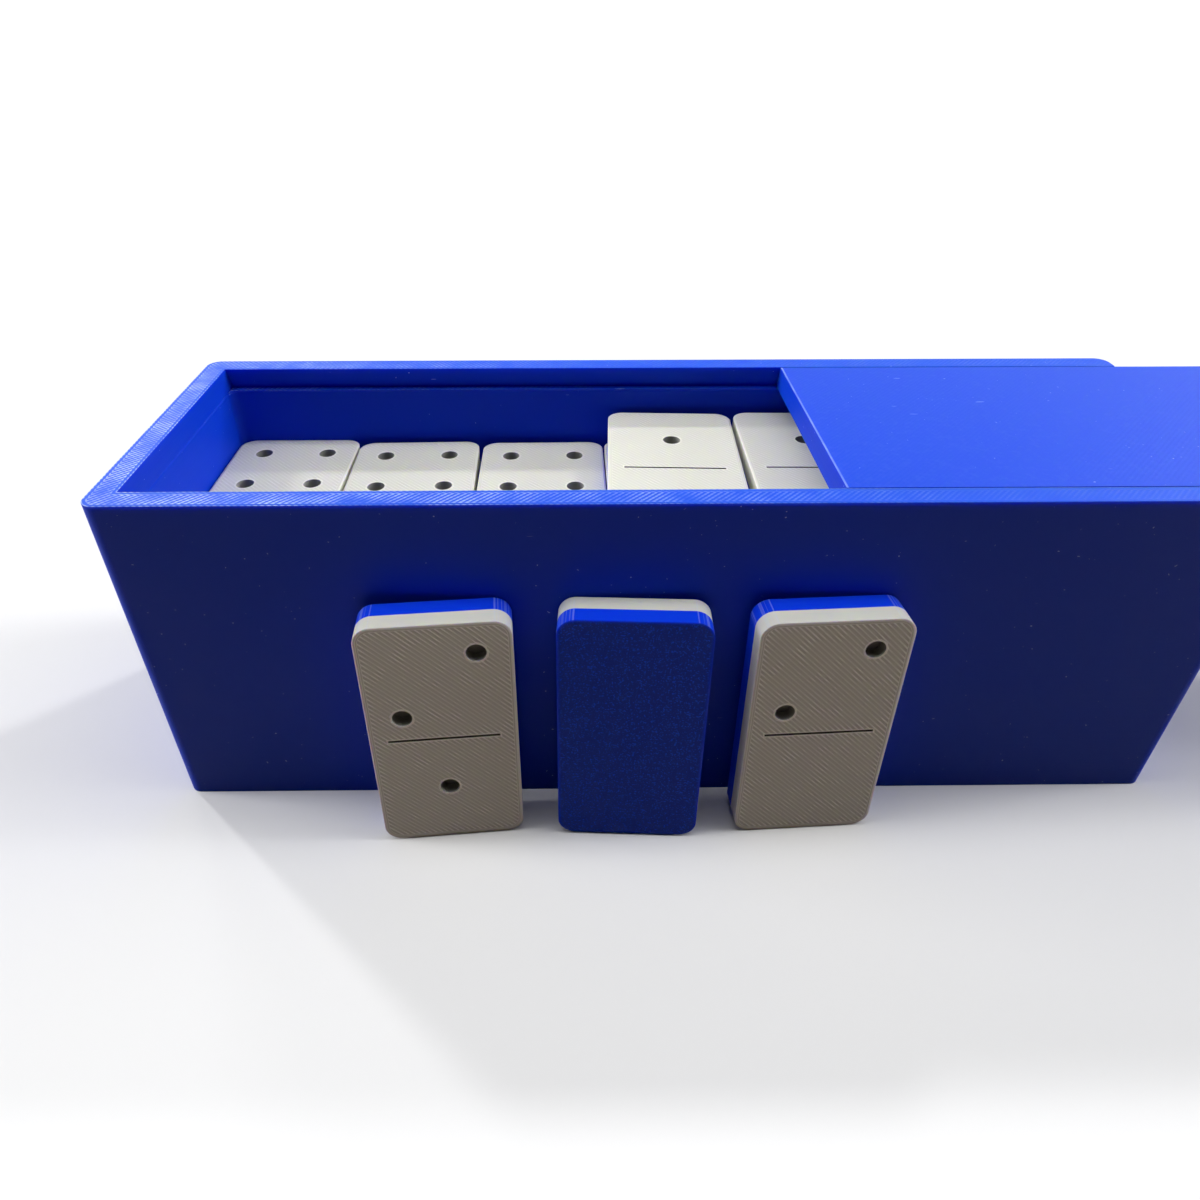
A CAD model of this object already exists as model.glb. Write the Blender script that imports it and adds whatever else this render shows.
# %% [markdown]
# # A printed box of dominoes with its lid slid open
#
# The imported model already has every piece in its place: the box, the lid and 55 tiles. This lesson dresses them.
# It sets a camera where the photographer stood, lights the table from above and behind, and then builds two
# finishes: the blue plastic of the box and lid, and the blue and grey plastic of the tiles.

# %% Load the frame
import math

import bpy
from mathutils import Matrix, Vector


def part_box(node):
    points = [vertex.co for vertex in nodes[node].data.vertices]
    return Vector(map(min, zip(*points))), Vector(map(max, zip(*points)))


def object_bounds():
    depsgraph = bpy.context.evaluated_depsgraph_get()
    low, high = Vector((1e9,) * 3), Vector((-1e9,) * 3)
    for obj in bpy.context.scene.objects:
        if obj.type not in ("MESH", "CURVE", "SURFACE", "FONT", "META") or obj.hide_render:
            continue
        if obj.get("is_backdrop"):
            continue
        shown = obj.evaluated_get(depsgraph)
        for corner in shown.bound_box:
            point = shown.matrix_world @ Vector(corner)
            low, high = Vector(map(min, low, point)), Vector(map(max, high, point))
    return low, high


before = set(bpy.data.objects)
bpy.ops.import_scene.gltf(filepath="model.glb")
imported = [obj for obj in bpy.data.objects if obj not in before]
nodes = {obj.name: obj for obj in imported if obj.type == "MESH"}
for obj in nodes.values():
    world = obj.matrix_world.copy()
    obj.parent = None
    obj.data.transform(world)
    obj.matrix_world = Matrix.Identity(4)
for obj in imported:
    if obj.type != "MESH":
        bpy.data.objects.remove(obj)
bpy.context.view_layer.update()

MM = 0.001

# %% [markdown]
# ## The camera
#
# The place, turn and focal length come from edges of the box in the photograph, whose sizes are known. The
# photograph is a square of 1200 pixels. The point that the lens looks at isn't quite its middle, because the
# picture was cropped, and the small shift of the lens stands for that.

# %% Place the camera
IMAGE = 1200                                    # side of the photograph, in pixels
FOCAL = 830.7                                   # focal length, in pixels
LOOK_U, LOOK_V = 578.9, 559.9                   # the pixel that the lens looks at
SENSOR = 36.0                                   # side of the sensor, in millimetres
LENS_PLACE = Vector((-19.38, -141.95, 134.31))  # in millimetres
PITCH, YAW, ROLL = 34.852, -0.65, 0.037         # in degrees
NEAREST = 10                                    # closest thing that the camera shows, in millimetres

bpy.ops.object.camera_add(location=LENS_PLACE * MM)
camera = bpy.context.object
camera.name = "camera"
turns = ((YAW, "Z"), (90 - PITCH, "X"), (ROLL, "Z"))
heading, tilt, spin = (Matrix.Rotation(math.radians(angle), 3, axis) for angle, axis in turns)
camera.rotation_euler = (heading @ tilt @ spin).to_euler()
camera.data.sensor_width = SENSOR
camera.data.lens = FOCAL / IMAGE * SENSOR
camera.data.shift_x = (IMAGE / 2 - LOOK_U) / IMAGE
camera.data.shift_y = (LOOK_V - IMAGE / 2) / IMAGE
camera.data.clip_start = NEAREST * MM
bpy.context.scene.camera = camera
print("lens in mm:", round(camera.data.lens, 2))

# %% [markdown]
# ## Arithmetic for node trees
#
# Patterns such as printed lines are sums and waves of a surface's coordinates. Written as nodes they are hard to
# read, so a small class wraps a socket and turns Python's own signs into Math nodes.

# %% A number that can be added and multiplied
class Value:
    """A number that varies over a surface."""

    def __init__(self, tree, socket):
        self.tree = tree
        self.socket = socket

    def math(self, operation, *others):
        return self.tree.add("ShaderNodeMath", {"operation": operation}, dict(enumerate((self, *others))))

    def __add__(self, other):
        return self.math("ADD", other)

    def __mul__(self, other):
        return self.math("MULTIPLY", other)

    def __sub__(self, other):
        return self.math("SUBTRACT", other)

    def __truediv__(self, other):
        return self.math("DIVIDE", other)

    def __rsub__(self, other):
        return self * -1 + other

    def __abs__(self):
        return self.math("ABSOLUTE")

    def at_least(self, other):
        return self.math("MAXIMUM", other)

    def at_most(self, other):
        return self.math("MINIMUM", other)

    def above(self, edge, soft=0.0):
        """1 where the number is above the edge and 0 below, over a soft step."""
        if not soft:
            return self.math("GREATER_THAN", edge)
        return ((self - (edge - soft)) / (2 * soft)).at_least(0).at_most(1)

    def below(self, edge, soft=0.0):
        return 1 - self.above(edge, soft)

    __radd__ = __add__
    __rmul__ = __mul__


def length(first, second):
    """The length of a step that goes so far one way and so far across it."""
    return (first * first + second * second).math("SQRT")


print("arithmetic ready")

# %% [markdown]
# ## Every other node
#
# All nodes come from one method, which takes a node's type, its settings, and the values or links of its sockets.
# Colours have their own Mix node, because a Math node would turn them grey.

# %% A tree that grows by one method
MIX_COLOURS = slice(6, 8)                # a Mix node's colour sockets, which come after those for numbers
MIX_RESULT = 2                           # and the result of mixing them


class Tree:
    """The node tree of a material or of the world."""

    def __init__(self, owner):
        self.owner = owner
        owner.use_nodes = True
        self.nodes = owner.node_tree.nodes
        self.links = owner.node_tree.links
        self.nodes.clear()

    def add(self, kind, settings=None, inputs=None, output=0):
        node = self.nodes.new(kind)
        for key, value in (settings or {}).items():
            setattr(node, key, value)
        for key, value in (inputs or {}).items():
            if isinstance(value, Value):
                self.links.new(value.socket, node.inputs[key])
            else:
                node.inputs[key].default_value = value
        return Value(self, node.outputs[output]) if node.outputs else None

    def split(self, vector):
        separate = self.add("ShaderNodeSeparateXYZ", None, {"Vector": vector}).socket.node
        return [Value(self, socket) for socket in separate.outputs]

    def blend(self, factor, first, second):
        """The first colour where the factor is 0 and the second where it is 1."""
        mix = self.add("ShaderNodeMix", {"data_type": "RGBA"}, {0: factor}, MIX_RESULT)
        for socket, colour in zip(mix.socket.node.inputs[MIX_COLOURS], (first, second)):
            if isinstance(colour, Value):
                self.links.new(colour.socket, socket)
            else:
                socket.default_value = (*colour, 1)
        return mix

    def noise(self, place, scale, detail):
        return self.add("ShaderNodeTexNoise", None, {"Vector": place, "Scale": scale, "Detail": detail})

    def stretched(self, place, scale):
        """A place whose three coordinates are each scaled."""
        return self.add("ShaderNodeMapping", None, {"Vector": place, "Scale": scale})


print("nodes ready")

# %% [markdown]
# ## The light overhead
#
# In the photograph the tops are bright, the ends about half as bright and the front dark, and even the tiles'
# upper sides, right under the front wall, are bright. So the light hangs over the box in one long strip from left
# to right, hardly behind it, and it glows most at its two ends.
#
# The strip is drawn in the world and lights all diffuse surfaces. The camera, gloss and glass see plain white.

# %% A strip of light overhead
STRIP_GLOW = 3.05                        # glow in the middle of the strip
STRIP_SIDES = 1.0                        # how much more it glows at its ends
FRONT_EDGE, FRONT_SOFT = -0.16, 0.18     # where it ends in front: the sine of its slant, and half the soft step
BACK_EDGE, BACK_SOFT = 0.19, 0.04        # and behind
WHITE = (1, 1, 1, 1)


def to_viewer(tree):
    """1 for rays whose background is white: those of the camera, of gloss and of glass."""
    path = tree.add("ShaderNodeLightPath").socket.node
    seen = [Value(tree, path.outputs[f"Is {kind} Ray"]) for kind in ("Camera", "Glossy", "Transmission")]
    return seen[0].at_least(seen[1]).at_least(seen[2])


sky = bpy.data.worlds.new("studio")
bpy.context.scene.world = sky
tree = Tree(sky)
side, depth, rise = tree.split(tree.add("ShaderNodeTexCoord"))
slant = depth / length(depth, rise)
strip = slant.above(FRONT_EDGE, FRONT_SOFT) * slant.below(BACK_EDGE, BACK_SOFT) * rise.above(0)
glow = strip * (side * side * STRIP_SIDES + 1) * STRIP_GLOW
light = tree.add("ShaderNodeBackground", None, {"Color": WHITE, "Strength": glow})
white = tree.add("ShaderNodeBackground", None, {"Color": WHITE, "Strength": 1.0})
shown = tree.add("ShaderNodeMixShader", None, {0: to_viewer(tree), 1: light, 2: white})
tree.add("ShaderNodeOutputWorld", None, {"Surface": shown})
bpy.context.scene.view_settings.view_transform = "Standard"
print("strip of light ready")

# %% [markdown]
# ## The lamps
#
# The back rim throws a shadow with a sharp straight edge on the tiles, which takes away a third of their light.
# That needs small lamps behind, on the left and right, whose rays pass the rim at one slope. Two wide low lamps
# light the ends of the box and of the tiles, and a weak wide one behind on the left stands for a window.

# %% Lamps behind and at the sides
LAMPS = {                                # azimuth, elevation, strength, and how many degrees wide it looks
    "lamp_back_left": (-48, 37, 0.8, 4),
    "lamp_back_right": (48, 37, 0.72, 4),
    "lamp_left": (-84, 17, 1.25, 16),
    "lamp_right": (84, 17, 1.2, 16),
    "lamp_window": (-28, 28, 0.3, 14),
}


def sun(name, azimuth, elevation, strength, size):
    """A lamp as far as the sun. Azimuth is counted from straight behind, and grows to the right."""
    bpy.ops.object.light_add(type="SUN")
    lamp = bpy.context.object
    lamp.name = name
    lamp.data.energy = strength
    lamp.data.angle = math.radians(size)
    lamp.rotation_euler = (math.radians(90 - elevation), 0, math.radians(180 - azimuth))
    towards = -(lamp.rotation_euler.to_matrix() @ Vector((0, 0, -1)))
    print(name, "stands towards", [round(part, 2) for part in towards])


for name, numbers in LAMPS.items():
    sun(name, *numbers)

# %% [markdown]
# ## The table
#
# The photograph's ground is plain white. To the camera and to gloss the floor is pale and keeps the shadow, while
# to the light that bounces it is a warm grey, as the table was: that is what tints the shaded faces.

# %% The floor
FLOOR_SIZE = 60                          # in metres, so that its edge is never seen
WARM_GREY = (0.26, 0.205, 0.175)
PALE_GREY = (0.86, 0.86, 0.86)

bpy.ops.mesh.primitive_plane_add(size=FLOOR_SIZE)
floor = bpy.context.object
floor.name = "floor"
finish = bpy.data.materials.new("floor")
tree = Tree(finish)
tone = tree.blend(to_viewer(tree), WARM_GREY, PALE_GREY)
surface = tree.add("ShaderNodeBsdfDiffuse", None, {"Color": tone})
tree.add("ShaderNodeOutputMaterial", None, {"Surface": surface})
floor.data.materials.append(finish)
floor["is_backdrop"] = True
print("floor ready")

# %% [markdown]
# ## Printed plastic
#
# Both plastics were laid down in threads about 0.4 mm wide. Seen from above, two threads follow every outline
# and the rest is filled in diagonal strokes; seen from the side, the layers are faint level lines. All lengths
# below are in millimetres.

# %% Patterns of the print
THREAD = 0.42                            # width of one thread
STROKE = 0.743                           # step of the diagonal strokes, which look like pairs of threads
LAYER = 0.2                              # height of a layer


def waves(value, step):
    """Rounded ridges, from 0 to 1, one for each step."""
    return (value * (2 * math.pi / step)).math("COSINE") * 0.5 + 0.5


def diagonals(value):
    """Ridges of the diagonal strokes. The value is the sum or the difference of x and y."""
    return waves(value, STROKE * math.sqrt(2))


def inside(x, y, plate_length, plate_width, radius):
    """How far a point is inside the outline of a plate with round corners."""
    out_x = abs(x) - (plate_length / 2 - radius)
    out_y = abs(y) - (plate_width / 2 - radius)
    past = length(out_x.at_least(0), out_y.at_least(0))
    return radius - past - out_x.at_least(out_y).at_most(0)


def rounded(edge, width):
    """How much lower a surface lies near its edge, where the last thread is round."""
    past = (width - edge).at_least(0)
    return past * past * (0.5 / width)


print("stroke step in mm:", STROKE)

# %% [markdown]
# ## The surface itself
#
# The plastic is slightly clear: light that enters a rim glows on for a millimetre down the wall below it. So the
# whole surface scatters light inside. Patterns follow the piece's own coordinates, which a Mapping node turns into
# millimetres, and the piece's own normal tells a top from a side.

# %% The plastic
IOR = 1.46
FACING = 0.8                             # how squarely a surface faces one way, to count as facing it


def start_finish(name, middle=(0, 0, 0), turn=(0, 0, 0)):
    """A new material's tree, and the surface's point in millimetres and its normal."""
    tree = Tree(bpy.data.materials.new(name))
    place = tree.add("ShaderNodeTexCoord", output="Object")
    normal = tree.add("ShaderNodeTexCoord", output="Normal")
    point = tree.add("ShaderNodeMapping", {"vector_type": "TEXTURE"}, {
        "Vector": place, "Location": middle, "Rotation": turn, "Scale": (MM, MM, MM)})
    return tree, point, normal


def plastic(tree, colour, roughness, height, gloss, reach):
    """The shader. Height and reach, how far each colour of light spreads inside, are in millimetres."""
    bump = tree.add("ShaderNodeBump", None, {"Strength": 1.0, "Distance": MM, "Height": height})
    return tree.add("ShaderNodeBsdfPrincipled", None, {
        "Base Color": colour, "Roughness": roughness, "Normal": bump, "IOR": IOR, "Specular IOR Level": gloss,
        "Subsurface Weight": 1.0, "Subsurface Radius": reach, "Subsurface Scale": MM})


def dress(name, tree, surface):
    """Give a node the material that the tree belongs to."""
    tree.add("ShaderNodeOutputMaterial", None, {"Surface": surface})
    slots = nodes[name].data.materials
    slots.clear()
    slots.append(tree.owner)


print("index of the plastic:", IOR)

# %% [markdown]
# ## The rim
#
# On the rim, threads follow the outer and inner edge, and strokes fill the room between them. The light catches
# them most at the front left, so the pale threads fade to the right and to the back. Below the rim the walls draw
# in a little, because their last threads are round.

# %% The rim's pattern
WALL = 4.5                               # width of the rim
OUTER_R = 2.5                            # radius of the box's upright edges
LEDGE = 62.35                            # height of the ledge on which the lid slides
RIM_RIDGE = 0.06                         # height of the strokes
RIM_ROUND, WALL_ROUND = 0.25, 0.6        # how far in, and how far down, an edge is round
EDGE_SOFT = 0.03                         # half the soft step between the outline's threads and the strokes
DASHES, FAINTEST = 0.6, 0.5              # how deep dashes cut a thread, and how faint the fill gets by them
FADE_OVER = 150                          # length over which the pale threads fade
PALE, LEAST_PALE = 0.16, 0.06            # how pale they are in the middle of the box, and at least
WORN_GAIN, WORN_LOSS, LEAST_WORN = 2.4, 0.6, 0.1
PALE_FROM, PALE_SOFT = 0.55, 0.3         # how high a ridge has to be before it is pale
CAVITY_SIDE = 0.3                        # a wall's face that is closer than this to the cavity faces it
SLACK = 0.02
FAR = 9                                  # more than any rounding reaches

low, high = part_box("box")
box_size = [(b - a) / MM for a, b in zip(low, high)]


def rim_pattern(x, y, z, worn, uneven):
    """The pale threads on the rim, its relief, and how much the walls draw in below an edge."""
    depth = inside(x, y, box_size[0], box_size[1], OUTER_R)
    edge = depth.at_most(abs(WALL - depth))
    outline = edge.below(2 * THREAD, EDGE_SOFT)
    dashes = (1 - DASHES) + DASHES * diagonals(x + y)
    fill = diagonals(x - y) * ((1 - FAINTEST) + FAINTEST * dashes)
    strokes = fill * (1 - outline) + waves(edge, 2 * THREAD) * dashes * outline
    patches = (worn * WORN_GAIN - WORN_LOSS).at_least(LEAST_WORN)
    fade = (PALE - x / FADE_OVER - y / FADE_OVER).at_least(LEAST_PALE) * patches
    pale = strokes.above(PALE_FROM, PALE_SOFT) * fade.at_most(1)
    relief = strokes * (uneven * 0.8 + 0.5) * (fade + 0.3) * RIM_RIDGE - rounded(edge, RIM_ROUND)

    # on the inside the round edge is that of the ledge, and the lid's track above it has none
    inner = depth.above(WALL - CAVITY_SIDE)
    below_ledge = LEDGE - z + z.above(LEDGE - SLACK) * FAR
    below = below_ledge * inner + (box_size[2] - z) * (1 - inner)
    return pale, relief, rounded(below, WALL_ROUND)


print("box in mm:", [round(size, 1) for size in box_size])

# %% [markdown]
# ## The lid
#
# The lid is smoother than the rim, as if ironed: its strokes hardly stand up, and only the thread along its left
# end is pale, with the faintest mottling elsewhere.

# %% The lid's pattern
LID_RIDGE = 0.008                        # height of the strokes
LID_ROUND = 0.3                          # how far in its left end is round
END_THREAD, END_SOFT, END_SHOWS = 0.35, 0.1, 0.5
MOTTLE_FROM, MOTTLE_SOFT, MOTTLE_SHOWS = 0.6, 0.12, 0.02
lid_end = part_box("lid")[0][0] / MM


def lid_pattern(x, y, z, worn, uneven):
    """The pale thread on the lid, its relief, and how much its sides draw in, which is nothing."""
    edge = x - lid_end
    thread = edge.below(END_THREAD, END_SOFT) * worn * END_SHOWS
    pale = thread + uneven.above(MOTTLE_FROM, MOTTLE_SOFT) * MOTTLE_SHOWS
    relief = diagonals(x - y) * LID_RIDGE - rounded(edge, LID_ROUND)
    return pale, relief, 0


print("left end of the lid in mm:", round(lid_end, 1))

# %% [markdown]
# ## The finish of the box and the lid
#
# Both are of one blue plastic, whose tops look lighter than its sides. On the sides the layers are level bands.
# Specks of dust lie on both, and small scuffs.

# %% Dress the box and the lid
RIM_BLUE = (0.003, 0.084, 0.75)
LID_BLUE = (0.003, 0.066, 0.72)
SIDE_BLUE = (0.002, 0.037, 0.57)
PALE_BLUE = (0.6, 0.75, 1.0)
DUST_BLUE = (0.3, 0.42, 0.95)
TOP_GLOSS, SIDE_GLOSS = 0.09, 0.08
SHELL_REACH = (0.3, 0.6, 2.2)            # how far red, green and blue light spread inside
TOP_ROUGH, SIDE_ROUGH = (0.36, 0.14), (0.42, 0.12)   # the least roughness, and what noise adds to it
BAND_RIDGE = 0.02                        # height of the level bands
BAND_SCALE = (0.02, 0.02, 1.6)           # long along the wall and low
SCUFF_SCALE = (0.35, 2.2, 6.0)
WORN, UNEVEN, BANDS = (0.22, 3), (0.9, 3), (1.0, 4)  # each noise's scale per millimetre, and its detail
DUST, DUSTY, SCUFFS = (1.9, 0), (0.1, 1), (0.5, 0)
DUST_FROM, SCUFF_FROM, SPECK_SOFT = 0.872, 0.888, 0.006  # only the tips of the noise are specks
DUSTY_FROM, DUSTY_SOFT = 0.48, 0.1
SPECKS_SHOW = 0.7


def shell_finish(name, pattern, top_blue):
    tree, point, normal = start_finish(f"blue_{name}")
    x, y, z = tree.split(point)
    top = abs(tree.split(normal)[2]).above(FACING)
    worn = tree.noise(point, *WORN)
    uneven = tree.noise(point, *UNEVEN)
    bands = tree.noise(tree.stretched(point, BAND_SCALE), *BANDS)
    pale, relief, drawn_in = pattern(x, y, z, worn, uneven)
    height = top * relief + (1 - top) * (bands * BAND_RIDGE - drawn_in)

    dusty = tree.noise(point, *DUSTY).above(DUSTY_FROM, DUSTY_SOFT)
    dust = tree.noise(point, *DUST).above(DUST_FROM, SPECK_SOFT) * dusty
    scuffs = tree.noise(tree.stretched(point, SCUFF_SCALE), *SCUFFS).above(SCUFF_FROM, SPECK_SOFT)
    colour = tree.blend(top, SIDE_BLUE, top_blue)
    colour = tree.blend(top * pale, colour, PALE_BLUE)
    colour = tree.blend(dust.at_least(scuffs) * SPECKS_SHOW, colour, DUST_BLUE)
    above = plastic(tree, colour, TOP_ROUGH[0] + TOP_ROUGH[1] * uneven, height, TOP_GLOSS, SHELL_REACH)
    beside = plastic(tree, colour, SIDE_ROUGH[0] + SIDE_ROUGH[1] * bands, height, SIDE_GLOSS, SHELL_REACH)
    dress(name, tree, tree.add("ShaderNodeMixShader", None, {0: top, 1: beside, 2: above}))


shell_finish("box", rim_pattern, RIM_BLUE)
shell_finish("lid", lid_pattern, LID_BLUE)
print("box and lid dressed")

# %% [markdown]
# ## How a tile lies
#
# A tile's pattern belongs to the tile, however it lies, so each tile is measured first. Its largest flat face is
# the back, because pips and a line are cut out of the other one. The floors of the pips face the same way as the
# face but lie deeper, so faces are added up by their plane and not only by the way they look. The largest faces
# across the back are the long sides, which gives the tile's own three axes. A Mapping node then brings the
# pattern's coordinates to the tile.

# %% Measure how a tile lies
STEEP = 0.1                              # largest slope between a side's normal and the back


def tile_axes(name):
    """The middle of a tile, its axes across, along and up from back to face, and its size in millimetres."""
    mesh = nodes[name].data
    planes = {}
    for face in mesh.polygons:
        depth = face.normal.dot(face.center) / MM
        key = (*(round(part, 2) for part in face.normal), round(depth, 1))
        planes[key] = planes.get(key, Vector()) + face.normal * face.area
    back = max(planes.values(), key=lambda normal: normal.length)
    up = -back.normalized()
    sides = [normal for normal in planes.values() if abs(normal.normalized().dot(up)) < STEEP]
    across = max(sides, key=lambda normal: normal.length).normalized()
    along = up.cross(across).normalized()
    if along.y + along.z < 0:
        along = -along
    axes = (along.cross(up), along, up)
    spans = [[axis.dot(vertex.co) for vertex in mesh.vertices] for axis in axes]
    middle = sum(((max(span) + min(span)) / 2 * axis for span, axis in zip(spans, axes)), Vector())
    size = [(max(span) - min(span)) / MM for span in spans]
    return middle, axes, size


for name in ("domino_2_1", "domino_2_2", "domino_1_1"):
    middle, axes, size = tile_axes(name)
    print(name, "size in mm", [round(part, 2) for part in size], "up", [round(part, 3) for part in axes[2]])

# %% [markdown]
# ## Where the pips are
#
# The pips of a number stand on a grid of three by three about the middle of its half. Their pattern is the
# distance from the nearest one, and its symmetry keeps the arithmetic short.

# %% The distance from the pips
PIP_R = 1.75
PIP_STEP = (6.8, 6.6)                    # between pips, across the tile and along it
PIP_MID = 11.8                           # from the line to the middle of a number
NO_PIP = 99                              # a distance that stands for no pip at all


def pip_distance(x, y, number):
    """The distance from the nearest pip's middle, where x and y start from the middle of the number."""
    spots = []
    if number % 2:
        spots.append((x, y))
    if number in (2, 3):
        spots.append((x * y.math("SIGN") - PIP_STEP[0], abs(y) - PIP_STEP[1]))
    if number > 3:
        spots.append((abs(x) - PIP_STEP[0], abs(y) - PIP_STEP[1]))
    if number > 5:
        spots.append((abs(x) - PIP_STEP[0], y))
    if number > 7:
        spots.append((x, abs(y) - PIP_STEP[1]))
    nearest = NO_PIP
    for spot in spots:
        nearest = length(*spot).at_most(nearest)
    return nearest


def outside_pips(x, y, high, low):
    """How far a point is outside the nearest pip of either number."""
    upper = y.above(0)
    far_half = pip_distance(x, y - PIP_MID, high) * upper
    near_half = pip_distance(x, y + PIP_MID, low) * (1 - upper)
    return far_half + near_half - PIP_R


print("pips in mm across:", 2 * PIP_R)

# %% [markdown]
# ## The masks of a tile
#
# Relief and colour need the same masks: where the face and the back are, how far a point is from the edge, the
# pips and the line, and where a thread runs. The face has diagonal strokes, clearest near its edges and its line,
# and two threads round its outline. Where the strokes end against a thread, they leave a ragged ring round every
# pip and round the line. On the leaning tiles all this shows more than on the tiles that lie in the light.

# %% What the print left on a tile
TILE_R = 3.2                             # radius of the tile's corners
LINE_L, LINE_W = 19.6, 0.5
LEANING_SHOWS, LYING_SHOWS = 1, 0.38     # how much the threads show
UPRIGHT_BELOW = 0.5                      # a tile leans if its face points less upwards than this
FACE_DEPTH, HOLE_DEPTH = 0.1, 0.05       # how far below the top the face ends, and a hole starts
SEAM_SOFT = 0.02                         # half the soft step between grey and blue
GRAIN, RAGGED, RUBBED = (3.0, 2), (1.8, 2), (0.3, 3)  # each noise's scale per millimetre, and its detail
RING_IN, RING_OUT, RING_RAGGED, RING_SOFT = -0.05, 0.12, 0.5, 0.06
LINE_RING = 0.1                          # how much narrower the ring is round the line
EDGE_BAND, LINE_BAND, BAND_SOFT = 2, 1.8, 0.8        # how far from edge and line the strokes are clear
BAND_SHOWS, LEAST_CLEAR = 0.8, 0.3
RUB_GAIN, RUB_LOSS = 3.4, 1.4
STROKE_GAIN, STROKE_LOSS = 1.9, 0.9      # makes the strokes narrower than the gaps between them
OUTLINE_SOFT, OUTLINE_SHOWS = 0.05, 0.5


class Surface:
    """The masks of one tile's surface."""

    def __init__(self, name):
        middle, axes, size = tile_axes(name)
        numbers = [int(part) for part in name.split("_")[1:]]
        tree, point, normal = start_finish(name, middle, Matrix(axes).transposed().to_euler())
        x, y, z = tree.split(point)
        dot = {"operation": "DOT_PRODUCT"}
        facing = tree.add("ShaderNodeVectorMath", dot, {0: normal, 1: axes[2]}, output="Value")
        self.tree, self.point, self.z = tree, point, z
        self.shows = LEANING_SHOWS if axes[2].z < UPRIGHT_BELOW else LYING_SHOWS

        self.face = facing.above(FACING) * z.above(size[2] / 2 - FACE_DEPTH)
        self.back = facing.below(-FACING)
        self.flat = self.face.at_least(self.back)
        self.grey = z.above(0, SEAM_SOFT)
        self.sunk = z.below(size[2] / 2 - HOLE_DEPTH)
        self.edge = inside(x, y, size[0], size[1], TILE_R)
        self.corner = (abs(x) - size[0] / 2 + TILE_R).above(0) * (abs(y) - size[1] / 2 + TILE_R).above(0)
        self.grain = tree.noise(point, *GRAIN)
        self.ragged = tree.noise(point, *RAGGED)

        self.pips = outside_pips(x, y, *numbers)
        self.line = (abs(x) - LINE_L / 2).at_least(abs(y) - LINE_W / 2)
        brink = self.pips.at_most(self.line + LINE_RING)
        self.ring = brink.above(RING_IN) * brink.below(RING_OUT + self.ragged * RING_RAGGED, RING_SOFT)

        near = self.edge.below(EDGE_BAND, BAND_SOFT).at_least(abs(y).below(LINE_BAND, BAND_SOFT))
        rubbed = tree.noise(point, *RUBBED) * RUB_GAIN - RUB_LOSS
        self.clear = rubbed.at_least(near * BAND_SHOWS).at_least(LEAST_CLEAR).at_most(1)
        strokes = (diagonals(x + y) * STROKE_GAIN - STROKE_LOSS).at_least(0) * self.clear
        outline = self.edge.below(2 * THREAD, OUTLINE_SOFT)
        self.threads = strokes * (1 - outline) + waves(self.edge, THREAD) * outline * OUTLINE_SHOWS


tiles = sorted(name for name in nodes if name.startswith("domino_"))
print("tiles to dress:", len(tiles))

# %% [markdown]
# ## The relief of a tile
#
# Threads and rings stand up from the face. The back took the fine grain of the plate that it was printed on. The
# sides show the layers, and the edges of the face and the back are round.

# %% The relief
THREAD_RIDGE, RING_RIDGE, GRAIN_RIDGE, LAYER_RIDGE = 0.06, 0.03, 0.1, 0.006
TILE_ROUND = 0.45                        # how far in from an edge a tile is round


def tile_relief(on):
    """The height of a tile's surface."""
    face = on.face * (on.threads * THREAD_RIDGE * on.shows + on.ring * RING_RIDGE)
    back = on.back * on.grain * GRAIN_RIDGE
    sides = waves(on.z, LAYER) * (1 - on.face) * (1 - on.back) * LAYER_RIDGE
    return face + back + sides - on.flat * rounded(on.edge, TILE_ROUND)


print("tallest ridge in mm:", GRAIN_RIDGE)

# %% [markdown]
# ## The colours of a tile
#
# The upper half is grey and the lower half blue. On the face the grooves are darker, and the threads, the rings
# and the very edge are whiter. Pips are grey inside and the line is nearly black. The grain of the back catches
# light in points, and round corners show upright streaks.

# %% The colours
GREY = (0.7, 0.7, 0.625)
GROOVE_GREY = (0.5, 0.455, 0.42)
THREAD_WHITE = (1.0, 0.98, 0.94)
RING_WHITE = (1.0, 0.97, 0.9)
PIP_GREY = (0.34, 0.34, 0.32)
LINE_GREY = (0.14, 0.13, 0.12)
BLUE = (0.003, 0.05, 0.82)
BACK_BLUE = (0.002, 0.036, 0.5)
GRAIN_BLUE = (0.01, 0.1, 1.0)
STREAK_BLUE = (0.6, 0.7, 0.95)
GROOVE_LOW, GROOVE_SOFT = 0.1, 0.1       # how low the threads are in a groove
GROOVE_SHOWS, THREAD_SHOWS, RING_SHOWS = 0.5, 0.9, 0.8
WHITE_EDGE, WHITE_SOFT = 0.25, 0.1       # how far in the very edge is whiter
HOLE_SLACK, HOLE_INSET = 0.02, 1         # a hole's walls stand this close to its outline, and this far in
PLATE_IN, PLATE_SOFT = 0.4, 0.3          # how far in the grain of the back starts
POINTS_FROM, POINTS_SOFT, POINTS_SHOW = 0.6, 0.05, 0.9
STREAKS = (2.4, 1)                       # a noise's scale per millimetre, and its detail
STREAKS_FROM, STREAKS_SOFT, STREAKS_SHOW = 0.56, 0.05, 0.18
UPRIGHT = (1, 1, 0)                      # leaves out the height, so that a pattern is the same all the way up


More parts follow.
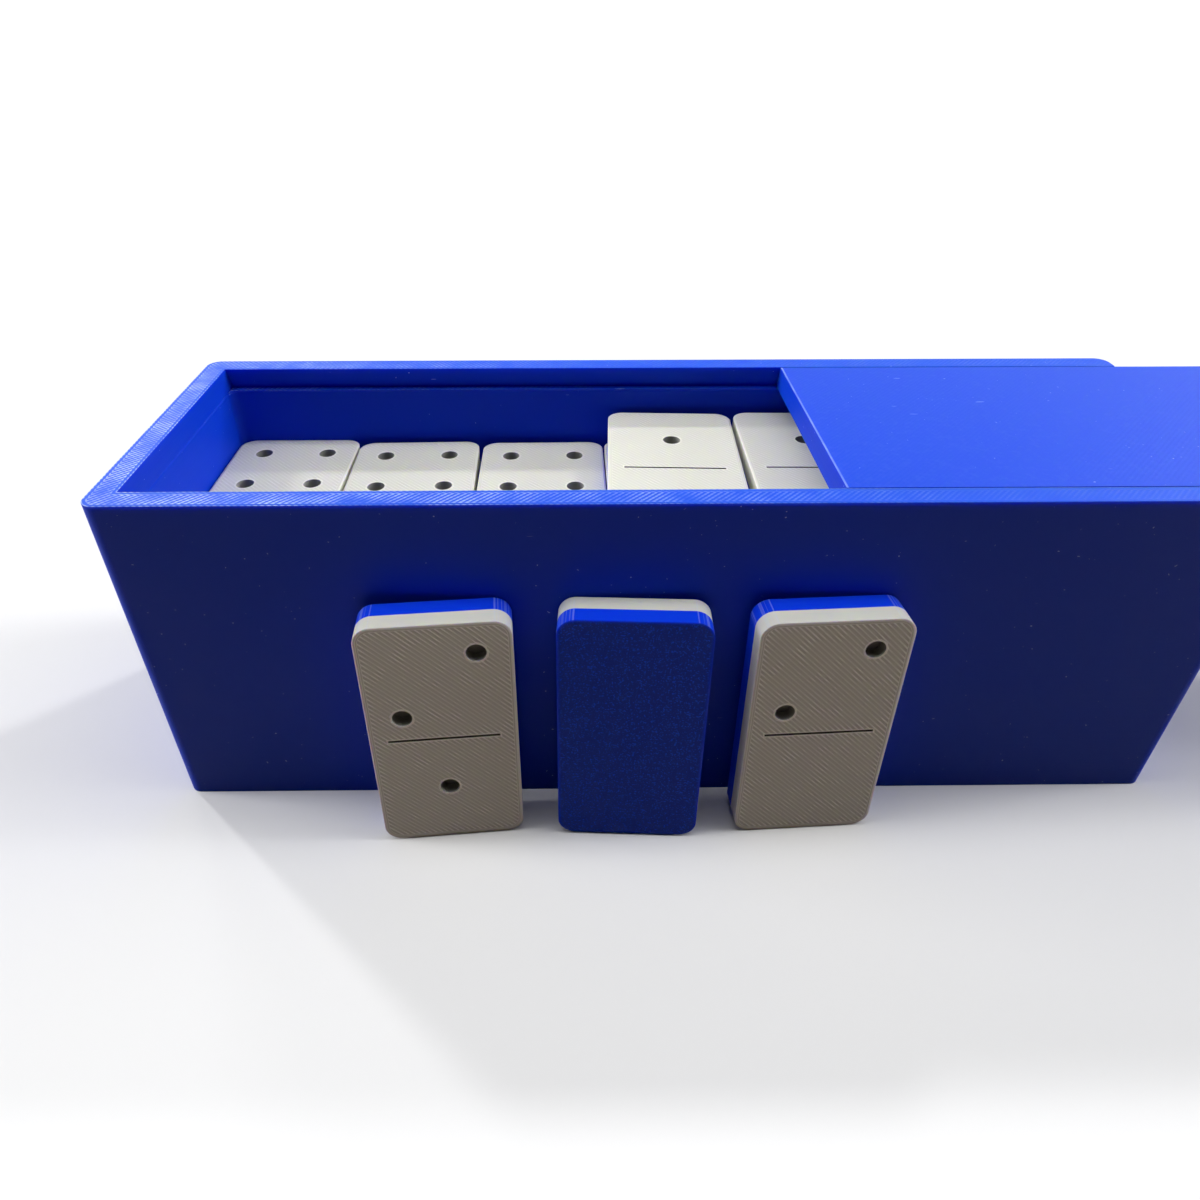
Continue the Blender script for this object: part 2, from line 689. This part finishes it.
def grey_half(on):
    groove = on.face * on.threads.below(GROOVE_LOW, GROOVE_SOFT) * on.clear * GROOVE_SHOWS
    colour = on.tree.blend(groove * on.shows, GREY, GROOVE_GREY)
    colour = on.tree.blend(on.face * on.threads * THREAD_SHOWS * on.shows, colour, THREAD_WHITE)
    white = on.ring.at_least(on.edge.below(WHITE_EDGE, WHITE_SOFT))
    colour = on.tree.blend(on.face * white * RING_SHOWS * on.shows, colour, RING_WHITE)
    in_line = on.line.below(HOLE_SLACK)
    hole = (on.pips.below(HOLE_SLACK) + in_line).at_most(1) * on.grey * on.sunk * on.edge.above(HOLE_INSET)
    colour = on.tree.blend(hole, colour, PIP_GREY)
    return on.tree.blend(hole * in_line, colour, LINE_GREY)


def blue_half(on):
    plate = on.back * on.edge.above(PLATE_IN, PLATE_SOFT)
    colour = on.tree.blend(plate, BLUE, BACK_BLUE)
    points = plate * on.grain.above(POINTS_FROM, POINTS_SOFT)
    return on.tree.blend(points * POINTS_SHOW, colour, GRAIN_BLUE)


def tile_colour(on):
    both = on.tree.blend(on.grey, blue_half(on), grey_half(on))
    noise = on.tree.noise(on.tree.stretched(on.point, UPRIGHT), *STREAKS)
    streaks = on.corner * (1 - on.flat) * noise.above(STREAKS_FROM, STREAKS_SOFT)
    return on.tree.blend(streaks * STREAKS_SHOW, both, STREAK_BLUE)


print("colours ready")

# %% [markdown]
# ## Dress the tiles
#
# Every tile has a material of its own, because its numbers and its place are its own.

# %% Dress the tiles
TILE_GLOSS = 0.07
TILE_REACH = (0.25, 0.2, 0.4)            # how far red, green and blue light spread inside
TILE_ROUGH = (0.42, 0.1)                 # the least roughness, and what noise adds to it

for name in tiles:
    on = Surface(name)
    roughness = TILE_ROUGH[0] + TILE_ROUGH[1] * on.ragged
    dress(name, on.tree, plastic(on.tree, tile_colour(on), roughness, tile_relief(on), TILE_GLOSS, TILE_REACH))
print("tiles dressed:", len(tiles))

# %% [markdown]
# ## Check the size and finish
#
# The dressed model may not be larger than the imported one, so both boxes are written down side by side.

# %% Write both sizes and finish
low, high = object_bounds()
print("size in mm:", [round((b - a) / MM, 1) for a, b in zip(low, high)])
